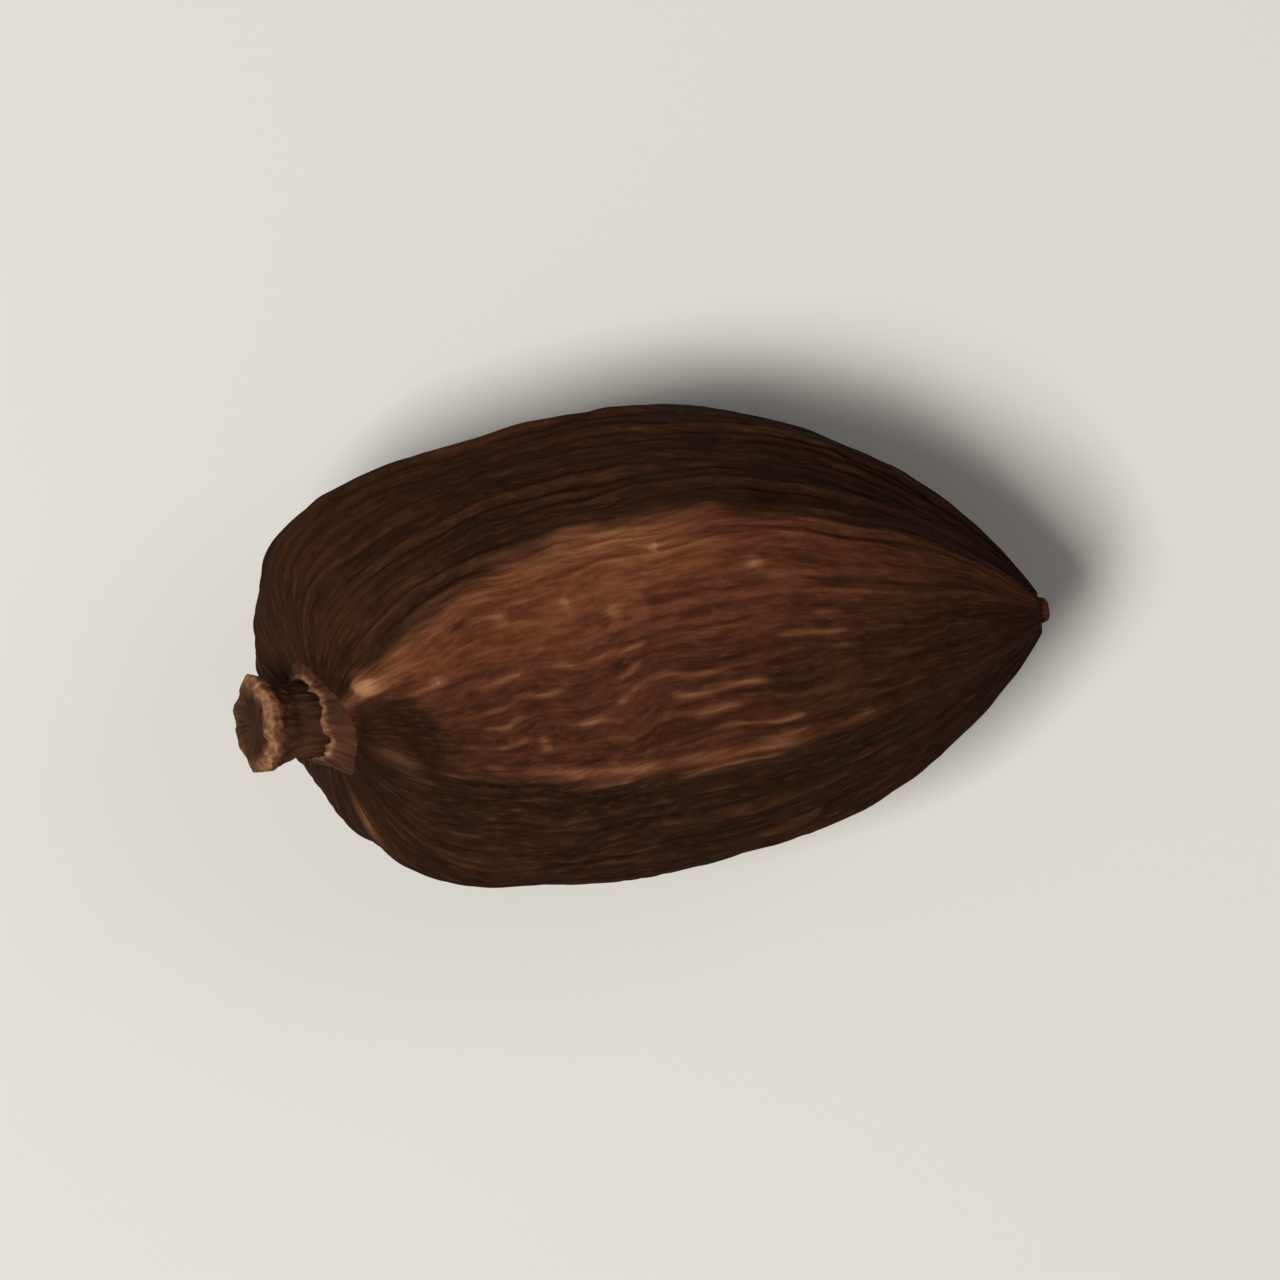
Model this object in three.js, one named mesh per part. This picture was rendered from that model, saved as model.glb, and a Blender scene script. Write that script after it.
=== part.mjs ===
// A dried amomum costatum pod with the stub of its stalk, grown as one piece.
// Millimetres and radians. +X points to the tip, +Z is up, and the pod lies on its side on z = 0.
// Directions round the pod start at +Y and turn towards +Z.
import * as THREE from 'three';

// Driving dimensions of the hull
const HALF_WIDTH = 9.6;        // half of the pod's width where it is widest
const AXIS_LENGTH = 29.6;      // along the bent middle line, stalk end to tip
const WIDEST = 13.3;           // from the stalk end along the middle line
const BEND = 0.5;              // angle by which the stalk end turns up, in radians
const BEND_LENGTH = 14;        // how much of the middle line is bent
const SLANT = 0.3;             // how far the stalk end leans back on its -Y side
const SIDE_BULGE = 1.16;       // the middle line bows out to +Y by this much
const BASE_ROUND = [2.03, 0.2];  // two powers that set how full the stalk end is
const TIP_ROUND = [2.06, 0.8];   // the same for the tip
const STALK_FORM = 5;          // the stalk end's own form fades over this length

// Where the tip and the middle line lie
const TIP_X = 16.23;
const MIDDLE_Y = -1.26;
const MIDDLE_Z = 8.35;

// The cross-section's dried faces. Each has a direction in degrees, a distance from the
// middle as a share of the half width, and what is added to both at the stalk end.
const FACES = [
  [90, 0.955, 0, 0.03],
  [27, 0.912, 17, -0.06],
  [153, 0.906, -9, -0.02],
  [207, 0.884, 0, 0],
  [236, 0.91, 0, 0],
  [273, 0.922, 0, 0],
  [318, 0.915, 0, 0],
  [352, 0.998, 0, 0],
];
const CORNER_ROUND = 14;

// Ribs that run from the stalk to the tip
const RIBS = 30;               // strong ribs round the pod, with a weaker one between each pair
const RIB_HEIGHT = 0.3;
const FINE_HEIGHT = 0.2;
const RIB_ROUND = 3;           // a higher power makes the ribs narrower
const FULL_RIBS = 6.5;         // half width of the pod from which its ribs are full
const FINE_RIBS = [2.6, 3.4];  // the weaker ribs begin at this half width and are full this much later

// Uneven waves, each with its size, waves round the pod, radians per millimetre along it, and start
const WANDER = [
  [0.04, 3, 0, 1],
  [0.018, 7, 0, 2],
  [0.01, 13, 0, 0.4],
  [0.012, 2, 0.45, 0],
  [0.009, -5, 0.87, 1.1],
  [0.005, 7, 1.7, 0],
  [0.05, 1, 0.1, 0],
];
const RIB_SHARE = 0.6;
const RIB_WAVES = [
  [0.125, 12, 0.15, 1],
  [0.125, -2, 0.69, 1],
  [0.3, 19, 0.2, 0],
];
const FINE_SHARE = 0.55;
const FINE_WAVES = [
  [0.15, 15, -0.17, 2],
  [0.15, 7, -0.83, -2],
  [0.3, 23, -0.25, 0],
];
const SHRUNK = -0.12;
const SHRINK_WAVES = [
  [0.06, 5, -0.06, 2.1],
  [-0.06, 1, 0.56, 2.1],
  [0.07, 4, 0.6, 0],
];
const STUB_EDGE = [
  [1, 2, 0, 0.4],
  [0.7, 3, 0, 2.2],
  [0.5, 5, 0, 1],
  [0.35, 9, 0, 0.3],
];
const STUB_CHIPS = [
  [1, 4, 0, 1],
  [0.8, 7, 0, 2.5],
  [0.6, 11, 0, 0],
];
const BEAK_EDGE = [
  [0.09, 3, 0, 1],
  [0.06, 5, 0, 0],
];

// Blunt crests between the faces: direction, its turn at the stalk end, spread, height, how much
// the height swells and sinks along the pod, and what the stalk end adds to it
const CRESTS = [
  [1.05, 0.28, 0.07, 0.18, 0.06, 0.19],
  [2.12, -0.2, 0.06, 0.17, 0.07, 0],
  [3.85, 0, 0.08, 0.12, 0, 0],
  [-0.62, 0, 0.08, 0.12, 0, 0],
];
const CREST_SWELL = 0.7;       // radians per millimetre

// The worn knob where the upper crest begins, and the shrunken hollow beside it
const KNOB = { direction: 1.34, spread: 0.15, halfWidth: 5, length: 1, height: 0.55 };
const HOLLOW = { direction: 1.76, spread: 0.3, halfWidth: 5.4, length: 1.9, depth: 0.5 };

// Where the pod lies, its relief is pressed almost smooth
const REST_SPOT = { direction: 1.5 * Math.PI, spread: 0.34, from: 13.5, length: 5, pressed: 0.93 };

// The stub of the stalk
const STUB_TURN = 0.44;        // its own rise from the middle line, in radians
const COLLAR_RADIUS = 2.35;
const NECK_RADIUS = 1.4;
const RIM_RADIUS = 1.9;
const STUB_LENGTH = 3.1;

// The beak left by the style
const BEAK_RADIUS = 0.55;
const BEAK_LENGTH = 0.95;

// The surface grid
const COLUMNS = 4 * RIBS;
const BODY_RINGS = 36;

const FULL = 2 * Math.PI;
const clamp = (v, lo, hi) => Math.min(hi, Math.max(lo, v));

// Half width of the pod at a distance d from the stalk end, faces and ribs left out
function halfWidth(d) {
  if (d < WIDEST) {
    const w = (WIDEST - d) / WIDEST;
    return HALF_WIDTH * (1 - w ** BASE_ROUND[0]) ** BASE_ROUND[1];
  }
  const w = clamp((d - WIDEST) / (AXIS_LENGTH - WIDEST), 0, 1);
  return HALF_WIDTH * (1 - w ** TIP_ROUND[0]) ** TIP_ROUND[1];
}

// How much of the stalk end's own form is left at a distance d
const stalkShare = (d) => Math.exp(-d / STALK_FORM);

// Sum of a table of waves in column c at a distance d
function waves(table, c, d) {
  let sum = 0;
  for (const [size, round, along, start] of table) sum += size * Math.sin(round * c + along * d + start);
  return sum;
}

// Distance from the middle to the faceted outline in direction a, near 1 at the sides
function outline(a, d) {
  const k = stalkShare(d);
  let sum = 0;
  for (const [degrees, distance, turn, grow] of FACES) {
    const reach = Math.cos(a - (degrees + turn * k) * Math.PI / 180);
    if (reach > 0) sum += (reach / (distance + grow * k)) ** CORNER_ROUND;
  }
  return sum ** (-1 / CORNER_ROUND);
}

// A rounded bump of width w round the angle at
function bump(a, at, w) {
  const off = Math.atan2(Math.sin(a - at), Math.cos(a - at));
  return Math.exp(-((off / w) ** 2));
}

// The ribs stand unevenly round the pod and wander a little on their way along it
const wander = (c, d) => waves(WANDER, c, d);

// Height of ribs, crests, knob and shrunken hollows over the plain skin, in column c and direction a
function relief(c, a, d) {
  const k = stalkShare(d);
  const wide = halfWidth(d);
  const wave = Math.cos(RIBS * c);
  const rib = (0.5 + 0.5 * wave) ** RIB_ROUND;
  const fine = (0.5 - 0.5 * wave) ** RIB_ROUND * clamp((wide - FINE_RIBS[0]) / FINE_RIBS[1], 0, 1);
  let height = SHRUNK + waves(SHRINK_WAVES, c, d);
  height += RIB_HEIGHT * rib * (RIB_SHARE + waves(RIB_WAVES, c, d));
  height += FINE_HEIGHT * fine * (FINE_SHARE + waves(FINE_WAVES, c, d));
  CRESTS.forEach(([direction, turn, spread, crest, swell, stalk], i) => {
    const tall = crest + swell * Math.sin(CREST_SWELL * d + 2 * i) + stalk * k;
    height += tall * bump(a, direction + turn * k, spread);
  });
  height *= clamp(wide / FULL_RIBS, 0.12, 1) * (1 - 0.55 * Math.exp(-d / 2));

  const rest = bump(a, REST_SPOT.direction, REST_SPOT.spread)
    * Math.exp(-(((d - REST_SPOT.from) / REST_SPOT.length) ** 2));
  height *= 1 - REST_SPOT.pressed * clamp(1.35 * rest, 0, 1);

  const knob = bump(a, KNOB.direction, KNOB.spread)
    * Math.exp(-(((wide - KNOB.halfWidth) / KNOB.length) ** 2) - d);
  const hollow = bump(a, HOLLOW.direction, HOLLOW.spread)
    * Math.exp(-(((wide - HOLLOW.halfWidth) / HOLLOW.length) ** 4) - (d / 3) ** 2);
  return height * (1 - 0.7 * hollow) + KNOB.height * knob - HOLLOW.depth * hollow;
}

// Point of the plain skin in column c at a distance d from the stalk end
function skinPoint(c, d) {
  const a = c + wander(c, d);
  const radius = halfWidth(d) * outline(a, d);
  const side = radius * Math.cos(a);
  const rise = radius * Math.sin(a);
  const turn = Math.max(0, BEND_LENGTH - d) * BEND / BEND_LENGTH;
  const bendRadius = BEND_LENGTH / BEND;
  const bendStart = TIP_X - (AXIS_LENGTH - BEND_LENGTH);
  const along = d > BEND_LENGTH ? d - BEND_LENGTH : -bendRadius * Math.sin(turn);
  const lean = SLANT * clamp(1 - d / WIDEST, 0, 1);
  const bow = SIDE_BULGE * (1 - (2 * d / AXIS_LENGTH - 1) ** 2);
  return new THREE.Vector3(
    bendStart + along + rise * Math.sin(turn) - lean * side,
    MIDDLE_Y + bow + side,
    MIDDLE_Z + bendRadius * (1 - Math.cos(turn)) + rise * Math.cos(turn),
  );
}

// The same point with its relief, raised straight out of the skin
function hullPoint(c, d) {
  const e = 0.0004;
  const round = skinPoint(c + e, d).sub(skinPoint(c - e, d));
  const along = skinPoint(c, d + e).sub(skinPoint(c, d - e));
  const out = round.cross(along).normalize();
  return skinPoint(c, d).addScaledVector(out, relief(c, c + wander(c, d), d));
}

// Distances of the body's rings, evenly spaced along its outline
function bodyRings() {
  const fine = [];
  let length = 0;
  let last = null;
  for (let i = 0; i <= 4000; i++) {
    const d = AXIS_LENGTH * (1 - Math.cos(Math.PI * i / 4000)) / 2;
    const r = halfWidth(d);
    if (r < COLLAR_RADIUS && d < WIDEST) continue;
    if (r < BEAK_RADIUS + 0.3 && d > WIDEST) break;
    if (last) length += Math.hypot(d - last[0], r - last[1]);
    last = [d, r];
    fine.push([length, d]);
  }
  const rings = [];
  let at = 0;
  for (let i = 0; i < BODY_RINGS; i++) {
    const want = length * i / (BODY_RINGS - 1);
    while (at < fine.length - 1 && fine[at][0] < want) at++;
    rings.push(fine[at][1]);
  }
  return rings;
}

// Rings of the stub, from the hollow in its broken end down to the torn collar of skin:
// distance out from the stalk end, radius, roughness of the edge
const STUB = [
  [STUB_LENGTH - 0.18, 0.45 * RIM_RADIUS, 0.1],
  [STUB_LENGTH - 0.05, 0.68 * RIM_RADIUS, 0.14],
  [STUB_LENGTH, 0.82 * RIM_RADIUS, 0.16],
  [STUB_LENGTH - 0.22, RIM_RADIUS, 0.14],
  [STUB_LENGTH - 0.55, 0.97 * RIM_RADIUS, 0.1],
  [STUB_LENGTH - 0.95, 0.5 * (RIM_RADIUS + NECK_RADIUS), 0.08],
  [STUB_LENGTH - 1.6, NECK_RADIUS, 0.06],
  [0.3, NECK_RADIUS + 0.05, 0.06],
  [0.66, NECK_RADIUS + 0.16, 0.26],
  [0.4, NECK_RADIUS + 0.36, 0.2],
];

// Where the stub grows out of the body
function stubRoot() {
  const root = hullPoint(0, 0.0006).add(hullPoint(Math.PI, 0.0006)).multiplyScalar(0.5);
  root.z = 0.5 * (hullPoint(0.5 * Math.PI, 0.0006).z + hullPoint(1.5 * Math.PI, 0.0006).z);
  return root;
}

function stubPoint(root, c, [out, radius, rough]) {
  const r = radius * (1 + 0.25 * rough * waves(STUB_EDGE, c, 0));
  const o = out + 0.35 * rough * waves(STUB_CHIPS, c, 0);
  const side = r * Math.cos(c);
  const rise = r * Math.sin(c);
  const lean = 0.6 * SLANT * clamp(1 - out / 2, 0.05, 1);
  return new THREE.Vector3(
    root.x - o * Math.cos(STUB_TURN) + rise * Math.sin(STUB_TURN) - lean * side,
    root.y + 0.05 * o + side,
    root.z + o * Math.sin(STUB_TURN) + rise * Math.cos(STUB_TURN),
  );
}

// The beak: a short blunt nib that goes on from the body's last ring
function beakPoint(c, out, radius) {
  const r = radius * (1 + waves(BEAK_EDGE, c, 0));
  return new THREE.Vector3(
    TIP_X - BEAK_LENGTH + out,
    MIDDLE_Y + 0.1 + r * Math.cos(c),
    MIDDLE_Z + r * Math.sin(c),
  );
}

// One closed surface: the middle of the stub's end, all rings, the middle of the beak's end
function podGeometry() {
  const rings = [];
  const ring = (point) => {
    const points = [];
    for (let i = 0; i < COLUMNS; i++) points.push(point(FULL * i / COLUMNS));
    rings.push(points);
  };
  const root = stubRoot();
  for (const station of STUB) ring((c) => stubPoint(root, c, station));
  for (const d of bodyRings()) ring((c) => hullPoint(c, d));
  ring((c) => beakPoint(c, 0.35 * BEAK_LENGTH, BEAK_RADIUS));
  ring((c) => beakPoint(c, 0.9 * BEAK_LENGTH, 0.72 * BEAK_RADIUS));
  ring((c) => beakPoint(c, BEAK_LENGTH, 0.4 * BEAK_RADIUS));

  const middle = (points, move) => points
    .reduce((sum, p) => sum.add(p), new THREE.Vector3())
    .divideScalar(points.length)
    .add(new THREE.Vector3(move, 0, 0));
  const vertices = [middle(rings[0], 0.05)];
  for (const points of rings) vertices.push(...points);
  vertices.push(middle(rings[rings.length - 1], -0.08));

  const index = [];
  const at = (r, i) => 1 + r * COLUMNS + (i % COLUMNS);
  for (let i = 0; i < COLUMNS; i++) {
    index.push(0, at(0, i + 1), at(0, i));
    for (let r = 0; r < rings.length - 1; r++) {
      index.push(at(r, i), at(r + 1, i + 1), at(r + 1, i));
      index.push(at(r, i), at(r, i + 1), at(r + 1, i + 1));
    }
    index.push(at(rings.length - 1, i), at(rings.length - 1, i + 1), vertices.length - 1);
  }

  const positions = new Float32Array(3 * vertices.length);
  vertices.forEach((p, i) => {
    // The underside is pressed flat where the pod lies
    positions.set([p.x, p.y, Math.max(0, p.z)], 3 * i);
  });
  const geometry = new THREE.BufferGeometry();
  geometry.setAttribute('position', new THREE.BufferAttribute(positions, 3));
  geometry.setIndex(index);
  geometry.computeVertexNormals();
  return geometry;
}

const husk = new THREE.MeshStandardMaterial({
  color: 0x53301f,
  roughness: 0.74,
  metalness: 0,
});

const pod = new THREE.Mesh(podGeometry(), husk);
pod.name = 'pod';

const part = new THREE.Group();
part.name = 'amomum_costatum_pod';
part.add(pod);

export default part;
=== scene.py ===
from math import cos, pi, radians, sin

import bpy
import numpy as np
from mathutils import Matrix


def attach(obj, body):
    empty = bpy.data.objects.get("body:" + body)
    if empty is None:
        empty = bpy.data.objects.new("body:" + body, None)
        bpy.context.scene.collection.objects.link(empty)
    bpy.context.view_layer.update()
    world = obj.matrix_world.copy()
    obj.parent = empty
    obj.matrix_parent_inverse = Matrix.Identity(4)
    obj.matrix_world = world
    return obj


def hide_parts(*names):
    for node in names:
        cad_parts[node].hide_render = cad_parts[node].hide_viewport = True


# A dried amomum costatum pod lying on its side: the husk with its beak, and the stub of its stalk

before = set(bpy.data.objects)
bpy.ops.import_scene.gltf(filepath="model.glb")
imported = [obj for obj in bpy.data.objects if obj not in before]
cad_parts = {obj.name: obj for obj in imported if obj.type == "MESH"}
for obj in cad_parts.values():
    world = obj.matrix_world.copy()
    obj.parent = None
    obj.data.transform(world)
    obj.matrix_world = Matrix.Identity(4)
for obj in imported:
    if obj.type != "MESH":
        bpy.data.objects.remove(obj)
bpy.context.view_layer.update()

MM = 0.001

# Directions round the pod are in radians and go from +Y towards +Z: c is a column's own, and a the
# one it has once the ribs have wandered. d is the distance from the stalk end along the bent middle
# line, in millimetres, and s the place along the outline, from 0 at the stalk to 1 at the tip.

# The hull's driving dimensions, in millimetres, as in the solid model
HALF_WIDTH = 9.6  # half of the pod's width where it is widest
AXIS_LENGTH = 29.6  # along the bent middle line, stalk end to tip
WIDEST = 13.3  # from the stalk end along the middle line
BEND = 0.5  # angle by which the stalk end turns up, in radians
BEND_LENGTH = 14  # how much of the middle line is bent
SLANT = 0.3  # how far the stalk end leans back on its -Y side
SIDE_BULGE = 1.16  # the middle line bows out to +Y by this much
BASE_ROUND = (2.03, 0.2)  # two powers that set how full the stalk end is
TIP_ROUND = (2.06, 0.8)  # the same for the tip
STALK_FORM = 5  # the stalk end's own form fades over this length

# Where the tip and the middle line lie
TIP_X = 16.23
MIDDLE_Y = -1.26
MIDDLE_Z = 8.35

# The cross-section's dried faces. Each has a direction in degrees, a distance from the middle as a
# share of the half width, and what is added to both at the stalk end.
FACES = [
    (90, 0.955, 0, 0.03),
    (27, 0.912, 17, -0.06),
    (153, 0.906, -9, -0.02),
    (207, 0.884, 0, 0),
    (236, 0.91, 0, 0),
    (273, 0.922, 0, 0),
    (318, 0.915, 0, 0),
    (352, 0.998, 0, 0),
]
CORNER_ROUND = 14  # a higher power makes the edges between the faces sharper

# Ribs that run from the stalk to the tip
RIBS = 30  # strong ribs round the pod, with a weaker one between each pair
RIB_HEIGHT = 0.3
FINE_HEIGHT = 0.2
RIB_ROUND = 3  # a higher power makes the ribs narrower
RIB_SWELL = 0.45  # how unevenly each rib swells and sinks along the pod
FULL_RIBS = 6.5  # half width of the pod from which its ribs are full
LEAST_RIBS = 0.12  # share of their height that is left at the ends of the pod
FINE_RIBS = (2.6, 3.4)  # the weaker ribs begin at this half width and are full this much later
STALK_SMOOTHED = 0.55  # share of the relief that is missing right at the stalk
SMOOTHED_LENGTH = 2  # the relief comes back over this length

# Uneven waves, each with its size, waves round the pod, radians per millimetre along it, and start
WANDER = [
    (0.04, 3, 0, 1),
    (0.018, 7, 0, 2),
    (0.01, 13, 0, 0.4),
    (0.012, 2, 0.45, 0),
    (0.009, -5, 0.87, 1.1),
    (0.005, 7, 1.7, 0),
    (0.05, 1, 0.1, 0),
]
RIB_SHARE = 0.6  # mean height of the strong ribs, as a share of RIB_HEIGHT
RIB_WAVES = [
    (0.125, 12, 0.15, 1),
    (0.125, -2, 0.69, 1),
    (0.3, 19, 0.2, 0),
]
FINE_SHARE = 0.55  # mean height of the weaker ones, as a share of FINE_HEIGHT
FINE_WAVES = [
    (0.15, 15, -0.17, 2),
    (0.15, 7, -0.83, -2),
    (0.3, 23, -0.25, 0),
]
SHRUNK = -0.12  # mean height of the skin between the ribs, over the plain hull
SHRINK_WAVES = [
    (0.06, 5, -0.06, 2.1),
    (-0.06, 1, 0.56, 2.1),
    (0.07, 4, 0.6, 0),
]
STUB_EDGE = [
    (1, 2, 0, 0.4),
    (0.7, 3, 0, 2.2),
    (0.5, 5, 0, 1),
    (0.35, 9, 0, 0.3),
]
STUB_WAVES = [
    (1, 4, 0, 1),
    (0.8, 7, 0, 2.5),
    (0.6, 11, 0, 0),
]
BEAK_EDGE = [
    (0.09, 3, 0, 1),
    (0.06, 5, 0, 0),
]

# Blunt crests between the faces: direction, its turn at the stalk end, spread, height, how much
# the height swells and sinks along the pod, and what the stalk end adds to it
UPPER_CREST = (1.05, 0.28, 0.07, 0.18, 0.06, 0.19)
LOWER_CREST = (2.12, -0.2, 0.06, 0.17, 0.07, 0)
CRESTS = [
    UPPER_CREST,
    LOWER_CREST,
    (3.85, 0, 0.08, 0.12, 0, 0),
    (-0.62, 0, 0.08, 0.12, 0, 0),
]
CREST_SWELL = 0.7  # radians per millimetre

# The worn knob where the upper crest begins. Its place along the pod is given as a half width.
KNOB_DIRECTION = 1.34
KNOB_SPREAD = 0.15
KNOB_HALF_WIDTH = 5
KNOB_LENGTH = 1
KNOB_HEIGHT = 0.55

# The shrunken hollow beside it, placed in the same way
HOLLOW_DIRECTION = 1.76
HOLLOW_SPREAD = 0.3
HOLLOW_HALF_WIDTH = 5.4
HOLLOW_LENGTH = 1.9
HOLLOW_REACH = 3  # it fades over this distance from the stalk end
HOLLOW_DEPTH = 0.5
HOLLOW_SMOOTHED = 0.7  # share of the relief that is missing in it

# Where the pod lies, its relief is pressed almost smooth
REST_DIRECTION = 1.5 * pi
REST_SPREAD = 0.34
REST_FROM = 13.5  # distance of its middle from the stalk end
REST_LENGTH = 5
REST_FLAT = 1.35  # above 1 it widens the part that is pressed evenly
REST_PRESSED = 0.93

# Small scars: direction, distance from the stalk end, half length in millimetres
SCARS = [
    (1.42, 11.9, 0.34),
    (1.33, 6, 0.3),
    (1.2, 14.4, 0.26),
    (1.28, 18.2, 0.3),
    (1.34, 9.4, 0.24),
    (1.5, 2.2, 0.2),
    (1.9, 6.3, 0.28),
]

# The stub of the stalk
STUB_TURN = 0.44  # its own rise from the middle line, in radians
STUB_SIDE = 0.05  # how far it leans to +Y per millimetre
STUB_SLANT = 0.6 * SLANT
COLLAR_RADIUS = 2.35
NECK_RADIUS = 1.4
RIM_RADIUS = 1.9
STUB_LENGTH = 3.1
STUB_DIMPLE = 0.05  # depth of the middle of its broken end

# The beak left by the style
BEAK_RADIUS = 0.55
BEAK_LENGTH = 0.95
BEAK_SIDE = 0.1  # how far its middle lies to +Y of the middle line
BEAK_COVER = 0.3  # the body's last ring is wider than the beak by this much
BEAK_DIMPLE = 0.08  # depth of the middle of its end

# The surface grid
COLUMNS = 640
BODY_RINGS = 146
STUB_STEPS = 6
BEAK_STEPS = 3
OUTLINE_STEPS = 4000  # places along the outline from which the body's rings are picked

# Relief that the solid model leaves out, in millimetres
FIBRE_HEIGHT = 0.055
LUMP_HEIGHT = 0.04
DASH_HEIGHT = 0.06
SCAR_HEIGHT = 0.1
WRINKLE_HEIGHT = 0.03
GRAIN_HEIGHT = 0.012
STUB_FIBRE_HEIGHT = 0.05
STUB_SPLIT_HEIGHT = 0.03

# Shares of an edge's roughness that go into its radius, into its length and into its chips
ROUGH_RADIUS = 0.25
ROUGH_LENGTH = 0.35
ROUGH_CHIPS = 0.4

# Dashes: pieces of thin worn ridges
DASH_LINES = 76  # ridges round the pod
DASH_ROUND = 4  # a higher power makes them thinner
DASH_STRAY = 1.6  # how far they stray, in radians of their own wave

# Directions of the surface grid's columns
ACROSS = 2 * pi * np.arange(COLUMNS) / COLUMNS


class Sheet:
    """Seeded smooth noise from -1 to 1 that joins up round the pod. Its columns start unevenly."""

    def __init__(self, seed, around, along):
        draw = np.random.RandomState(seed)
        self.around, self.along = around, along
        self.values = draw.uniform(-1, 1, (along + 3, around))
        self.starts = draw.uniform(0, 1, around)

    def column(self, i, y):
        y = y + self.starts[i]
        j = np.floor(y).astype(int)
        t = y - j
        t = t * t * (3 - 2 * t)
        return self.values[j, i] * (1 - t) + self.values[j + 1, i] * t

    def __call__(self, c, v):
        c, v = np.broadcast_arrays(c, v)
        x = (c / (2 * pi) * self.around) % self.around
        y = np.clip(v, 0, 1) * self.along
        i = np.floor(x).astype(int)
        t = x - i
        t = t * t * (3 - 2 * t)
        return self.column(i % self.around, y) * (1 - t) + self.column((i + 1) % self.around, y) * t


# Each sheet has a seed, cells round the pod and cells along it
LONG_FIBRES = Sheet(3, 190, 11)
SHORT_FIBRES = Sheet(5, 310, 34)
LUMPS = Sheet(7, 46, 26)
WRINKLES = Sheet(11, 97, 50)
GRAIN = Sheet(13, 300, 70)
RIB_BREAKS = Sheet(17, 2 * RIBS, 9)
PATCHES = Sheet(19, 13, 8)
STAINS = Sheet(23, 28, 17)
DASHES = Sheet(41, DASH_LINES, 26)


def smooth(start, end, v):
    """A soft step from 0 at start to 1 at end."""
    t = np.clip((v - start) / (end - start), 0, 1)
    return t * t * (3 - 2 * t)


def bump(a, at, width):
    """A rounded bump of this width round the direction at."""
    off = np.arctan2(np.sin(a - at), np.cos(a - at))
    return np.exp(-((off / width) ** 2))


def band(v, middle, length, power=2):
    """1 in the middle, fading on both sides. A higher power makes it even, with sharper ends."""
    return np.exp(-(((v - middle) / length) ** power))


def half_width(d):
    """Half width of the pod at a distance d, faces and ribs left out."""
    w = np.clip((WIDEST - d) / WIDEST, 0, 1)
    v = np.clip((d - WIDEST) / (AXIS_LENGTH - WIDEST), 0, 1)
    base = (1 - w ** BASE_ROUND[0]) ** BASE_ROUND[1]
    tip = (1 - v ** TIP_ROUND[0]) ** TIP_ROUND[1]
    return HALF_WIDTH * np.where(d < WIDEST, base, tip)


def stalk_share(d):
    """How much of the stalk end's own form is left at a distance d."""
    return np.exp(-d / STALK_FORM)


def waves(table, c, d):
    """Sum of a table of waves."""
    return sum(size * np.sin(around * c + along * d + start) for size, around, along, start in table)


def outline(a, d):
    """Distance from the middle to the faceted outline in direction a, near 1 at the sides."""
    k = stalk_share(d)
    total = 0
    for degrees, distance, turn, grow in FACES:
        reach = np.maximum(np.cos(a - np.radians(degrees + turn * k)), 0)
        total = total + (reach / (distance + grow * k)) ** CORNER_ROUND
    return total ** (-1 / CORNER_ROUND)


def wander(c, d):
    """The ribs stand unevenly round the pod and wander a little on their way along it."""
    return waves(WANDER, c, d)


def rib_waves(c, d):
    """Shape of the strong and of the weaker ribs, each from about 0 to 1."""
    wave = np.cos(RIBS * c)
    grown = np.clip((half_width(d) - FINE_RIBS[0]) / FINE_RIBS[1], 0, 1)
    rib = (0.5 + 0.5 * wave) ** RIB_ROUND
    fine = (0.5 - 0.5 * wave) ** RIB_ROUND * grown
    return rib * (RIB_SHARE + waves(RIB_WAVES, c, d)), fine * (FINE_SHARE + waves(FINE_WAVES, c, d))


def rib_swell(c, s):
    """Each rib swells and sinks along the pod on its own."""
    return 1 + RIB_SWELL * RIB_BREAKS(c + pi / (4 * RIBS), s)


def fibre_waves(c, s):
    """Long and short fibres together, from -1 to 1."""
    return 0.6 * LONG_FIBRES(c, s) + 0.4 * SHORT_FIBRES(c, s)


def crest_direction(crest, d):
    """Direction of a crest, which turns at the stalk end."""
    return crest[0] + crest[1] * stalk_share(d)


def crests(a, d):
    """Height of all crests."""
    k = stalk_share(d)
    total = 0
    for i, (direction, turn, spread, height, swell, stalk) in enumerate(CRESTS):
        tall = height + swell * np.sin(CREST_SWELL * d + 2 * i) + stalk * k
        total = total + tall * bump(a, direction + turn * k, spread)
    return total


def stalk_ring(d, middle, length):
    """A ring round the stalk end, where the half width is middle. It fades along the pod too."""
    return np.exp(-(((half_width(d) - middle) / length) ** 2) - d)


def stalk_patch(d, middle, length):
    """The same, but wider and more even, and as long as the hollow."""
    return np.exp(-(((half_width(d) - middle) / length) ** 4) - (d / HOLLOW_REACH) ** 2)


def knob(a, d):
    """Shape of the knob, from 0 to 1."""
    return bump(a, KNOB_DIRECTION, KNOB_SPREAD) * stalk_ring(d, KNOB_HALF_WIDTH, KNOB_LENGTH)


def hollow(a, d):
    """Shape of the hollow, from 0 to 1."""
    across = bump(a, HOLLOW_DIRECTION, HOLLOW_SPREAD)
    return across * stalk_patch(d, HOLLOW_HALF_WIDTH, HOLLOW_LENGTH)


def rest_share(a, d):
    """Share of the relief that is left where the pod lies, and 1 elsewhere."""
    rest = bump(a, REST_DIRECTION, REST_SPREAD) * band(d, REST_FROM, REST_LENGTH)
    return 1 - REST_PRESSED * np.clip(REST_FLAT * rest, 0, 1)


def scars(a, d):
    """A few small pale scars on the upper face, from 0 to 1."""
    total = 0
    for direction, distance, size in SCARS:
        total = total + bump(a, direction, size / HALF_WIDTH) * band(d, distance, size)
    return total


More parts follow.
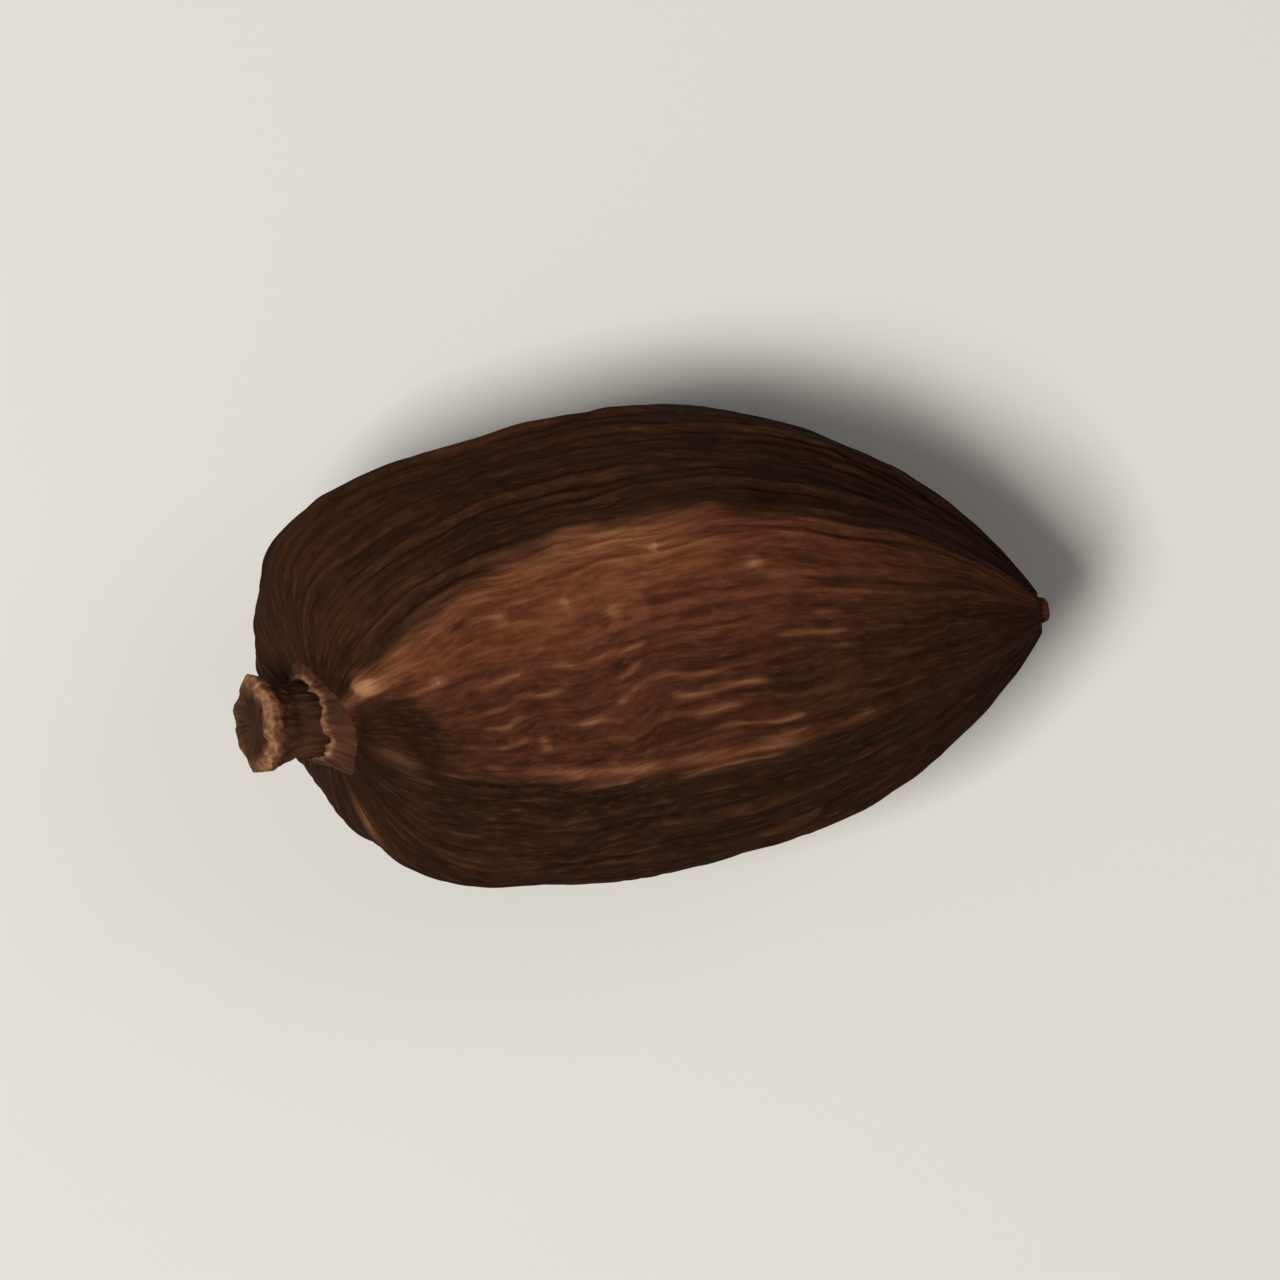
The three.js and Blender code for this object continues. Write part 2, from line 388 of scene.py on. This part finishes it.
def dashes(c, s):
    """Thin worn ridges, broken into short pieces, from 0 to 1."""
    line = (0.5 + 0.5 * np.cos(DASH_LINES * c + DASH_STRAY * LUMPS(c, s))) ** DASH_ROUND
    return line * smooth(0, 0.75, DASHES(c, s) + 0.3 * SHORT_FIBRES(c, s))


def relief(c, d, s):
    """Height over the plain skin."""
    a = c + wander(c, d)
    narrow = np.clip(half_width(d) / FULL_RIBS, LEAST_RIBS, 1)
    grown = narrow * (1 - STALK_SMOOTHED * np.exp(-d / SMOOTHED_LENGTH))
    rib, fine = rib_waves(c, d)
    height = (
        SHRUNK
        + waves(SHRINK_WAVES, c, d)
        + (RIB_HEIGHT * rib + FINE_HEIGHT * fine) * rib_swell(c, s)
        + crests(a, d)
    )
    skin = (
        FIBRE_HEIGHT * fibre_waves(c, s)
        + LUMP_HEIGHT * LUMPS(c, s)
        + DASH_HEIGHT * dashes(c, s)
        + SCAR_HEIGHT * scars(a, d)
        + WRINKLE_HEIGHT * WRINKLES(c, s)
        + GRAIN_HEIGHT * GRAIN(c, s)
    )
    sunk = hollow(a, d)
    smoothed = (1 - HOLLOW_SMOOTHED * sunk) * rest_share(a, d)
    return grown * (height + skin) * smoothed + KNOB_HEIGHT * knob(a, d) - HOLLOW_DEPTH * sunk


def skin_point(c, d):
    """Point of the plain skin in column c at a distance d."""
    a = c + wander(c, d)
    radius = half_width(d) * outline(a, d)
    side, rise = radius * np.cos(a), radius * np.sin(a)
    turn = np.maximum(0, BEND_LENGTH - d) * BEND / BEND_LENGTH
    bend_radius = BEND_LENGTH / BEND
    bend_start = TIP_X - (AXIS_LENGTH - BEND_LENGTH)
    along = np.where(d > BEND_LENGTH, d - BEND_LENGTH, -bend_radius * np.sin(turn))
    lean = SLANT * np.clip(1 - d / WIDEST, 0, 1)
    bow = SIDE_BULGE * (1 - (2 * d / AXIS_LENGTH - 1) ** 2)
    x = bend_start + along + rise * np.sin(turn) - lean * side
    y = MIDDLE_Y + bow + side
    z = MIDDLE_Z + bend_radius * (1 - np.cos(turn)) + rise * np.cos(turn)
    return np.stack([x, y, z], -1)


def skin_normal(c, d):
    """Direction straight out of the plain skin, found with a small step e."""
    e = 0.0004
    across = skin_point(c + e, d) - skin_point(c - e, d)
    along = skin_point(c, d + e) - skin_point(c, d - e)
    out = np.cross(across, along)
    return out / np.linalg.norm(out, axis=-1, keepdims=True)


def hull_point(c, d, s):
    """Point of the skin with its relief."""
    c, d, s = np.broadcast_arrays(c, d, s)
    return skin_point(c, d) + skin_normal(c, d) * relief(c, d, s)[..., None]


def body_rings(count):
    """Distances and places of rings that are evenly spaced along the outline."""
    d = AXIS_LENGTH * (1 - np.cos(pi * np.arange(OUTLINE_STEPS + 1) / OUTLINE_STEPS)) / 2
    r = half_width(d)
    collar = (r < COLLAR_RADIUS) & (d < WIDEST)
    beak = (r < BEAK_RADIUS + BEAK_COVER) & (d > WIDEST)
    d, r = d[~collar & ~beak], r[~collar & ~beak]
    length = np.concatenate([[0], np.cumsum(np.hypot(np.diff(d), np.diff(r)))])
    place = np.linspace(0, 1, count)
    return np.interp(place * length[-1], length, d), place


# Rings of the stub, from the hollow in its broken end down to the torn collar of skin:
# distance out from the stalk end, radius, roughness of the edge
STUB = [
    (STUB_LENGTH - 0.18, 0.45 * RIM_RADIUS, 0.1),
    (STUB_LENGTH - 0.05, 0.68 * RIM_RADIUS, 0.14),
    (STUB_LENGTH, 0.82 * RIM_RADIUS, 0.16),
    (STUB_LENGTH - 0.22, RIM_RADIUS, 0.14),
    (STUB_LENGTH - 0.55, 0.97 * RIM_RADIUS, 0.1),
    (STUB_LENGTH - 0.95, 0.5 * (RIM_RADIUS + NECK_RADIUS), 0.08),
    (STUB_LENGTH - 1.6, NECK_RADIUS, 0.06),
    (0.3, NECK_RADIUS + 0.05, 0.06),
    (0.66, NECK_RADIUS + 0.16, 0.26),
    (0.4, NECK_RADIUS + 0.36, 0.2),
]

STUB_FIBRES = Sheet(29, 64, 12)
STUB_SPLITS = Sheet(31, 110, 40)
STUB_CHIPS = Sheet(37, 58, 6)


def stub_root():
    """Where the stub grows out of the body, taken just beside the stalk end."""
    d = 0.0006
    c = np.array([0, pi, pi / 2, 1.5 * pi])
    p = skin_point(c, d)
    return np.array([(p[0, 0] + p[1, 0]) / 2, (p[0, 1] + p[1, 1]) / 2, (p[2, 2] + p[3, 2]) / 2])


def stub_point(c, out, radius, rough, q):
    """Point of the stub in column c. q is its place between the broken end, 0, and the body, 1."""
    root = stub_root()
    fibres = STUB_FIBRE_HEIGHT * STUB_FIBRES(c, q) + STUB_SPLIT_HEIGHT * STUB_SPLITS(c, q)
    r = radius * (1 + ROUGH_RADIUS * rough * waves(STUB_EDGE, c, 0)) + fibres
    o = out + ROUGH_LENGTH * rough * waves(STUB_WAVES, c, 0) + ROUGH_CHIPS * rough * STUB_CHIPS(c, q)
    side, rise = r * np.cos(c), r * np.sin(c)
    lean = STUB_SLANT * np.clip(1 - out / 2, 0.05, 1)
    x = root[0] - o * cos(STUB_TURN) + rise * sin(STUB_TURN) - lean * side
    y = root[1] + STUB_SIDE * o + side
    z = root[2] + o * sin(STUB_TURN) + rise * cos(STUB_TURN)
    return np.stack([x, y, z], -1)


def stub_rings(last):
    """Rings from the hollow in the broken end to the body's first ring, with their rows in STUB."""
    rings, rows = [], []
    for i, (here, there) in enumerate(zip(STUB, STUB[1:])):
        for step in range(STUB_STEPS):
            t = step / STUB_STEPS
            out, radius, rough = ((1 - t) * a + t * b for a, b in zip(here, there))
            q = (i + t) / len(STUB)
            rings.append(stub_point(ACROSS, out, radius, rough, q))
            rows.append(i + t)
    foot = stub_point(ACROSS, *STUB[-1], (len(STUB) - 1) / len(STUB))
    for step in range(STUB_STEPS):
        t = step / STUB_STEPS
        rings.append((1 - t) * foot + t * last)
        rows.append(len(STUB) - 1 + t)
    rings.append(last)
    rows.append(len(STUB))
    return rings, rows


def beak_rings(last):
    """Rings from the body's last ring round the blunt beak."""
    edge = 1 + waves(BEAK_EDGE, ACROSS, 0)
    ragged = STUB_FIBRE_HEIGHT * STUB_FIBRES(ACROSS, 0.5)

    def ring(out, radius):
        r = radius * edge + ragged
        x = np.full(COLUMNS, TIP_X - BEAK_LENGTH + out)
        y = MIDDLE_Y + BEAK_SIDE + r * np.cos(ACROSS)
        z = MIDDLE_Z + r * np.sin(ACROSS)
        return np.stack([x, y, z], -1)

    stops = [
        last,
        ring(0.35 * BEAK_LENGTH, BEAK_RADIUS),
        ring(0.9 * BEAK_LENGTH, 0.72 * BEAK_RADIUS),
        ring(BEAK_LENGTH, 0.4 * BEAK_RADIUS),
    ]
    rings = []
    for here, there in zip(stops, stops[1:]):
        for step in range(1, BEAK_STEPS + 1):
            t = step / BEAK_STEPS
            rings.append((1 - t) * here + t * there)
    return rings


def add_layer(mesh, name, kind, key, values):
    """Keep values in the mesh, one for each point."""
    layer = mesh.attributes.new(name, kind, "POINT")
    layer.data.foreach_set(key, np.asarray(values, dtype=np.float32).ravel())


def ring_mesh(name, rings, values, lengths, cap):
    """A mesh through rings of points, closed by one middle point.

    values give how worn it is and its painted shade at each point, and lengths its place along the
    pod at each ring. The middle point comes before the first ring where cap is -1, and after the last
    one where it is 1.
    """
    points = np.stack(rings)
    points[..., 2] = np.maximum(0, points[..., 2])
    count = len(rings)
    grid = np.arange(count * COLUMNS).reshape(count, COLUMNS)
    a, b = grid[:-1], grid[1:]
    a2, b2 = np.roll(a, -1, 1), np.roll(b, -1, 1)
    quads = np.stack([a, a2, b2, b], -1).reshape(-1, 4).tolist()
    end = 0 if cap < 0 else -1
    edge = grid[end]
    middle = points[end].mean(0)
    middle[0] += STUB_DIMPLE if cap < 0 else -BEAK_DIMPLE
    far = np.roll(edge, -1)
    top = count * COLUMNS
    if cap < 0:
        fan = [(top, int(j), int(i)) for i, j in zip(edge, far)]
    else:
        fan = [(int(i), int(j), top) for i, j in zip(edge, far)]
    vertices = np.concatenate([points.reshape(-1, 3), middle[None]]) * MM
    mesh = bpy.data.meshes.new(name)
    mesh.from_pydata(vertices.tolist(), [], quads + fan)
    mesh.shade_smooth()
    tones = np.concatenate([values.reshape(-1, 3), values[end].mean(0)[None]])
    tones = np.concatenate([tones, np.ones((len(tones), 1))], 1)
    # The layer holds how worn each point is and its painted shade.
    add_layer(mesh, "wear_and_shade", "FLOAT_COLOR", "color", tones)
    fibres = np.zeros((count, COLUMNS, 3))
    fibres[..., 0] = np.cos(ACROSS)
    fibres[..., 1] = np.sin(ACROSS)
    fibres[..., 2] = np.asarray(lengths)[:, None]
    fibres = np.concatenate([fibres.reshape(-1, 3), fibres[end].mean(0)[None]])
    add_layer(mesh, "fibres", "FLOAT_VECTOR", "vector", fibres)
    piece = bpy.data.objects.new(name, mesh)
    bpy.context.scene.collection.objects.link(piece)
    return piece


# How worn the skin is: 0 is whole, 1 is rubbed pale, and above 1 it is bare, by up to this much
BARE = 1

# The worn upper face, off which the flanks get painted shade: angles past its upper and its lower
# crest where it still has that painted shade and where it is full, and how far these lines stray
FACE_UPPER = (-0.04, 0.12)
FACE_LOWER = (0.09, -0.04)
FACE_STRAY = 0.03

# Directions between which the face turns to its darker lower half, and how far they stray
LOWER_HALF = (1.22, 1.74)
LOWER_STRAY = 0.1

# The painted shade in the hollow: half breadth, half width of the pod at its middle, and length
SHADE_BREADTH = 1.9
SHADE_HALF_WIDTH = 4.9
SHADE_LENGTH = 2.4

# Heights between which the tops of the ribs get rubbed, and between which furrows get painted shade
RUBBED_TOPS = (0.5, 1.3)
FURROW_SHADE_HEIGHTS = (0.2, -0.15)

# Distances between which the rubbing ends, and between which painted shade darkens the face's warm
# colour towards the tip
RUBBED_END = (29, 17)
TIP_SHADE_SPAN = (14, 24)

# A ridge on the -Y side that is rubbed too: its direction, and no turn
LONE_RIDGE = (3.3, 0)

# Where the ridges start they are rubbed pale. Each has a strength, its ridge, the direction from it
# and the spread. The first fades over a length, the others are rings with a half width and a length.
UPPER_START = (0.6, UPPER_CREST, 0.05, 0.08, 2)
OTHER_STARTS = [
    (0.5, LOWER_CREST, 0.1, 0.08, 4.6, 1.2),
    (0.9, LONE_RIDGE, 0, 0.09, 4.6, 1.1),
]

# Pale lines along the crests: strength, crest, direction from it, spread, distance of the middle,
# half length, and the power that sets how sharply they end
LOWER_LINE = (1.2, LOWER_CREST, -0.03, 0.022, 12, 7, 4)
UPPER_LINES = [
    (0.5, UPPER_CREST, 0.06, 0.05, 10, 5, 4),
    (0.45, UPPER_CREST, 0.11, 0.08, 13.6, 2.4, 2),
]

# The beak: how worn it is at its foot and at its end, then painted shade of furrows and flanks, which
# darkens it all over
BEAK_WORN = (0.05, 0.35)
BEAK_SHADE = 0.45
BEAK_SHADED_TONE = 0.2

# Pale bands and a band of painted shade round the stub: row in STUB and half length in rows
RIM_BAND = (2.6, 1.1)
LIP_BAND = (8.3, 0.4)
GROOVE_SHADE_BAND = (7.1, 0.5)

# How far the fibres' place along the pod moves on over one ring of the beak and over the stub
BEAK_RING_FIBRES = 0.01
STUB_RUN_FIBRES = 0.1


def upper_face(c, a, d, s):
    """1 on the worn upper face between the upper and the lower crest, 0 on the flanks, which get
    painted shade.
    """
    stray = FACE_STRAY * LUMPS(c, s)
    past_upper = smooth(*FACE_UPPER, a + stray - crest_direction(UPPER_CREST, d))
    before_lower = smooth(*FACE_LOWER, a + stray - crest_direction(LOWER_CREST, d))
    return past_upper * before_lower


def painted_hollow_shade(a, d):
    """Painted shade in the hollow, from 0 to 1."""
    across = bump(a, HOLLOW_DIRECTION, SHADE_BREADTH / half_width(d))
    return smooth(0.1, 0.7, across * stalk_patch(d, SHADE_HALF_WIDTH, SHADE_LENGTH))


def wear_height(c, a, d, s):
    """How far the skin stands out to be rubbed: about 1 on a rib, and more on a crest."""
    rib, fine = rib_waves(c, d)
    ribs = (rib + 0.75 * fine) * rib_swell(c, s)
    return ribs + 0.35 * fibre_waves(c, s) + 0.1 * LUMPS(c, s) + 1.4 * crests(a, d)


def beside(a, d, crest, off, spread):
    """A line beside a crest, from 0 to 1."""
    return bump(a, crest_direction(crest, d) + off, spread)


def rubbed_starts(a, d):
    """Ridges rubbed pale where they start at the stalk end."""
    strength, *line, length = UPPER_START
    total = strength * beside(a, d, *line) * np.exp(-d / length)
    for strength, *line, middle, length in OTHER_STARTS:
        total = total + strength * beside(a, d, *line) * stalk_ring(d, middle, length)
    return total


def rubbed_line(a, d, strength, crest, off, spread, middle, length, power):
    """One pale line along a crest."""
    return strength * beside(a, d, crest, off, spread) * band(d, middle, length, power)


def rubbed_lines(c, a, d, s):
    """Pale lines along both crests. The lower one is broken by stains."""
    strength, *place = LOWER_LINE
    total = rubbed_line(a, d, strength * (0.6 + 0.4 * STAINS(c, s)), *place)
    for line in UPPER_LINES:
        total = total + rubbed_line(a, d, *line)
    return total


def bare_knob(c, a, d, s):
    """The knob without its skin, with an edge that is ragged along the fibres."""
    return smooth(0.15, 0.8, knob(a, d) + 0.16 * SHORT_FIBRES(c, s) + 0.1 * LONG_FIBRES(c, s))


def husk_wear_and_shade(d, s):
    """Per point: how worn it is, how much painted shade its furrows give, and how warm its colour is,
    with painted shade on the flanks, in the hollow and towards the tip.
    """
    c = ACROSS[None, :]
    d, s = d[:, None], s[:, None]
    a = c + wander(c, d)
    face = upper_face(c, a, d, s)
    lower_half = smooth(*LOWER_HALF, a + LOWER_STRAY * PATCHES(c, s))
    hollow_shade = painted_hollow_shade(a, d)
    height = wear_height(c, a, d, s)

    # Ribs and dashes are rubbed most on the face and not at all under the painted shade in the hollow
    tops = 0.4 * smooth(*RUBBED_TOPS, height) * (1 - 0.7 * lower_half * face)
    lines = (0.3 + 0.5 * lower_half) * dashes(c, s)
    rubbed = (tops + lines) * (0.3 + 0.7 * face) * (1 - hollow_shade) * smooth(*RUBBED_END, d)
    worn = np.clip(rubbed + rubbed_starts(a, d) + rubbed_lines(c, a, d, s), 0, 1)
    worn = worn + BARE * np.clip(1.2 * scars(a, d), 0, 0.9)
    worn = worn + BARE * bare_knob(c, a, d, s)
    furrow_shade = smooth(*FURROW_SHADE_HEIGHTS, height) * (1 - 0.6 * hollow_shade)

    # The colour is warm on the face and darker on its lower half; painted shade darkens the flanks,
    # the hollow and the tip
    stained = 0.86 + 0.14 * STAINS(c, s) + 0.1 * PATCHES(c, s)
    # Darker on the face's lower half, and painted shade towards the tip
    lower_dark_and_tip_shade = (1 - 0.74 * lower_half) * (1 - 0.75 * smooth(*TIP_SHADE_SPAN, d))
    tone_and_shade = (0.08 + 0.92 * face) * (1 - 0.8 * hollow_shade) * stained * lower_dark_and_tip_shade
    return np.stack([worn, furrow_shade, np.clip(tone_and_shade, 0, 1)], -1)


def make_husk():
    """The husk with its beak, and its first ring, where the stub goes on."""
    d, s = body_rings(BODY_RINGS)
    rings = list(hull_point(ACROSS[None, :], d[:, None], s[:, None]))
    first = rings[0]
    beak = beak_rings(rings[-1])
    tip = np.zeros((len(beak), COLUMNS, 3))
    tip[..., 0] = np.linspace(*BEAK_WORN, len(beak))[:, None]
    tip[..., 1] = BEAK_SHADE
    tip[..., 2] = BEAK_SHADED_TONE
    values = np.concatenate([husk_wear_and_shade(d, s), tip])
    lengths = np.concatenate([s, 1 + BEAK_RING_FIBRES * np.arange(1, len(beak) + 1)])
    return ring_mesh("husk", rings + beak, values, lengths, 1), first


def make_stub(last):
    """The stub of the stalk with its torn collar, down to the husk's first ring."""
    rings, rows = stub_rings(last)
    rows = np.array(rows)[:, None] + 0 * ACROSS[None, :]
    c = ACROSS[None, :] + 0 * rows
    q = rows / len(STUB)
    fibres = 0.5 + 0.5 * STUB_FIBRES(c, q)
    # The broken rim and the collar's lip are pale fibres, painted paler on the top side as painted
    # light
    painted_top_light = smooth(-0.5, 0.5, np.sin(ACROSS))[None, :]
    rim = band(rows, *RIM_BAND) * (0.25 + 0.75 * painted_top_light)
    lip = band(rows, *LIP_BAND) * (0.2 + 0.8 * painted_top_light)
    pale = np.clip((0.95 * rim + 0.8 * lip) * (0.55 + 0.6 * fibres), 0, 1)
    # Painted shade in the hollow of the broken end and in the groove under the collar, over the
    # fibres' own grain
    hollow_end_shade = 0.5 * smooth(1.2, 0.2, rows)
    shade_and_grain = np.clip(hollow_end_shade + band(rows, *GROOVE_SHADE_BAND) + 0.3 * (1 - fibres), 0, 1)
    values = np.stack([pale, shade_and_grain, fibres], -1)
    return ring_mesh("stalk_stub", rings, values, STUB_RUN_FIBRES * q[:, 0], -1)


# Materials

def srgb(r, g, b):
    """A colour given as 0 to 255 display values, in the linear form that shaders take."""
    def linear(v):
        v /= 255
        return v / 12.92 if v <= 0.04045 else ((v + 0.055) / 1.055) ** 2.4
    return (linear(r), linear(g), linear(b), 1)


class Shader:
    """A principled material and a few helpers to wire its nodes."""

    def __init__(self, name):
        self.material = bpy.data.materials.new(name)
        self.material.use_nodes = True
        self.tree = self.material.node_tree
        self.principled = self.tree.nodes["Principled BSDF"]

    def add(self, kind, **values):
        """A new node with these settings."""
        node = self.tree.nodes.new(kind)
        for key, value in values.items():
            setattr(node, key, value)
        return node

    def link(self, source, target):
        self.tree.links.new(source, target)

    def wear_and_shade(self):
        """The three values, how worn and how much painted shade, that the mesh keeps for each point.
        """
        wear_and_shade = self.add("ShaderNodeAttribute", attribute_name="wear_and_shade")
        parts = self.add("ShaderNodeSeparateColor")
        self.link(wear_and_shade.outputs["Color"], parts.inputs["Color"])
        return [parts.outputs[key] for key in ("Red", "Green", "Blue")]

    def noise(self, coordinates, scale, detail, rough=0.55):
        """Noise from about 0.3 to 0.7."""
        node = self.add("ShaderNodeTexNoise")
        node.inputs["Scale"].default_value = scale
        node.inputs["Detail"].default_value = detail
        node.inputs["Roughness"].default_value = rough
        self.link(coordinates, node.inputs["Vector"])
        return node.outputs["Fac"]

    def along_fibres(self, lengthwise):
        """A place on the skin that runs with the ribs, its features drawn out along them."""
        fibres = self.add("ShaderNodeAttribute", attribute_name="fibres")
        drawn_out = self.add("ShaderNodeMapping")
        drawn_out.inputs["Scale"].default_value = (1, 1, lengthwise)
        self.link(fibres.outputs["Vector"], drawn_out.inputs["Vector"])
        return drawn_out.outputs["Vector"]

    def stretch(self, source, start, end, low=0.0, high=1.0):
        """The source from start to end, spread out from low to high and held there beyond."""
        node = self.add("ShaderNodeMapRange", clamp=True)
        for key, value in (("From Min", start), ("From Max", end), ("To Min", low), ("To Max", high)):
            node.inputs[key].default_value = value
        self.link(source, node.inputs["Value"])
        return node.outputs["Result"]

    def times(self, a, b):
        node = self.add("ShaderNodeMath", operation="MULTIPLY")
        self.link(a, node.inputs[0])
        self.link(b, node.inputs[1])
        return node.outputs[0]

    def mix(self, factor, a, b):
        """Colour a where the factor is 0, b where it is 1. Each is a tuple or a node's output."""
        node = self.add("ShaderNodeMix", data_type="RGBA")
        self.link(factor, node.inputs["Factor"])
        for socket, value in ((node.inputs[6], a), (node.inputs[7], b)):
            if isinstance(value, tuple):
                socket.default_value = value
            else:
                self.link(value, socket)
        return node.outputs[2]

    def emboss(self, height, strength, distance):
        """Light the surface as if it were raised by a height. distance is in metres."""
        node = self.add("ShaderNodeBump")
        node.inputs["Strength"].default_value = strength
        node.inputs["Distance"].default_value = distance
        self.link(height, node.inputs["Height"])
        self.link(node.outputs["Normal"], self.principled.inputs["Normal"])


# Scale of the noise along the pod. At 1 its grain is about 4 times as long as broad, below 1 longer.
FIBRE_STRETCH = 0.45


def husk_material():
    """Brown skin with painted shade on the flanks, warm on the upper face, with fine fibres, painted
    shade in the furrows and pale rubbing.
    """
    shader = Shader("husk")
    place = shader.add("ShaderNodeTexCoord").outputs["Object"]
    streaked = shader.along_fibres(FIBRE_STRETCH)
    threaded = shader.along_fibres(2 * FIBRE_STRETCH)
    worn, furrow_shade, tone_and_shade = shader.wear_and_shade()

    broad = shader.stretch(shader.noise(place, scale=260, detail=6, rough=0.72), 0.38, 0.62)
    streaks = shader.stretch(shader.noise(streaked, scale=30, detail=4, rough=0.65), 0.42, 0.66)
    threads = shader.stretch(shader.noise(threaded, scale=46, detail=3, rough=0.6), 0.5, 0.7)

    # The darker brown is the flanks' colour with painted shade; the warm one is the upper face's own
    # colour
    shaded_flank_brown = shader.mix(broad, srgb(29, 16, 9), srgb(43, 25, 15))
    warm = shader.mix(broad, srgb(74, 38, 24), srgb(96, 50, 32))
    colour = shader.mix(tone_and_shade, shaded_flank_brown, warm)
    colour = shader.mix(shader.times(streaks, tone_and_shade), colour, srgb(110, 64, 42))
    # Painted shade in the furrows between the ribs
    colour = shader.mix(shader.stretch(furrow_shade, 0, 1, high=0.5), colour, srgb(21, 11, 7))
    thread_share = shader.times(threads, shader.stretch(tone_and_shade, 0, 1, low=0.13, high=0.4))
    colour = shader.mix(thread_share, colour, srgb(120, 74, 47))
    pale = shader.mix(streaks, srgb(102, 59, 37), srgb(146, 102, 69))
    colour = shader.mix(shader.stretch(worn, 0, 1, high=0.7), colour, pale)
    colour = shader.mix(shader.stretch(worn, 1, 1 + BARE), colour, srgb(184, 134, 94))
    shader.link(colour, shader.principled.inputs["Base Color"])

    sheen = shader.noise(streaked, scale=30, detail=3)
    rough = shader.stretch(sheen, 0.35, 0.65, low=0.62, high=0.8)
    shader.link(rough, shader.principled.inputs["Roughness"])
    shader.principled.inputs["Specular IOR Level"].default_value = 0.02
    fibres = shader.noise(streaked, scale=60, detail=4, rough=0.6)
    shader.emboss(fibres, strength=0.6, distance=0.0001)
    return shader.material


def stub_material():
    """Fibrous brown stalk with a pale broken rim and collar, paler on top as painted light, and
    painted shade in its broken end's hollow and under the collar.
    """
    shader = Shader("stalk")
    place = shader.add("ShaderNodeTexCoord").outputs["Object"]
    pale, shade_and_grain, fibres = shader.wear_and_shade()

    grain = shader.stretch(shader.noise(place, scale=3600, detail=4, rough=0.6), 0.38, 0.64)
    colour = shader.mix(fibres, srgb(52, 30, 20), srgb(82, 50, 33))
    # Painted shade, with some of the fibres' own grain
    colour = shader.mix(shader.stretch(shade_and_grain, 0, 1, high=0.85), colour, srgb(30, 18, 12))
    light = shader.mix(grain, srgb(112, 74, 49), srgb(158, 115, 80))
    colour = shader.mix(pale, colour, light)
    shader.link(colour, shader.principled.inputs["Base Color"])
    shader.principled.inputs["Roughness"].default_value = 0.78
    shader.principled.inputs["Specular IOR Level"].default_value = 0.06
    shader.emboss(shader.noise(place, scale=5200, detail=3), strength=0.4, distance=0.00006)
    return shader.material


def plain_material(name, colour, roughness):
    shader = Shader(name)
    shader.principled.inputs["Base Color"].default_value = colour
    shader.principled.inputs["Roughness"].default_value = roughness
    return shader.material


# The object

husk, first_ring = make_husk()
husk.data.materials.append(husk_material())
stalk = make_stub(first_ring)
stalk.data.materials.append(stub_material())
for piece in (husk, stalk):
    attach(piece, "root")
    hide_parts("pod")

# Floor, lights and camera

FLOOR_SIZE = 1.2
bpy.ops.mesh.primitive_plane_add(size=FLOOR_SIZE, location=(0, 0, 0))
floor = bpy.context.object
floor.name = "floor"
floor.data.materials.append(plain_material("floor", srgb(205, 202, 196), 0.85))


def soft_light(name, place, size, watts, colour):
    """A square lamp that shines at the origin."""
    light = bpy.data.lights.new(name, "AREA")
    light.shape = "SQUARE"
    light.size = size
    light.energy = watts
    light.color = colour
    lamp = bpy.data.objects.new(name, light)
    bpy.context.scene.collection.objects.link(lamp)
    lamp.location = place
    lamp.rotation_euler = lamp.location.to_track_quat("Z", "Y").to_euler()


soft_light("key", place=(-0.2, -0.09, 0.52), size=0.2, watts=3.5, colour=(1, 0.98, 0.95))
soft_light("fill", place=(0.34, 0.14, 0.4), size=0.3, watts=0.35, colour=(1, 0.99, 0.97))

world = bpy.data.worlds.new("studio")
world.use_nodes = True
background = world.node_tree.nodes["Background"]
background.inputs["Color"].default_value = (1, 0.99, 0.97, 1)
background.inputs["Strength"].default_value = 0.17
bpy.context.scene.world = world
bpy.context.scene.view_settings.view_transform = "Standard"

# The camera looks straight down and is rolled, so that the pod lies at the photograph's angle
CAMERA_HEIGHT = 0.34
LENS_MM = 235
SENSOR_MM = 36
ROLL = radians(-8.4)

camera_data = bpy.data.cameras.new("camera")
camera_data.lens = LENS_MM
camera_data.sensor_width = SENSOR_MM
camera = bpy.data.objects.new("camera", camera_data)
bpy.context.scene.collection.objects.link(camera)
camera.matrix_world = Matrix.Translation((0, 0, CAMERA_HEIGHT)) @ Matrix.Rotation(ROLL, 4, "Z")
bpy.context.scene.camera = camera
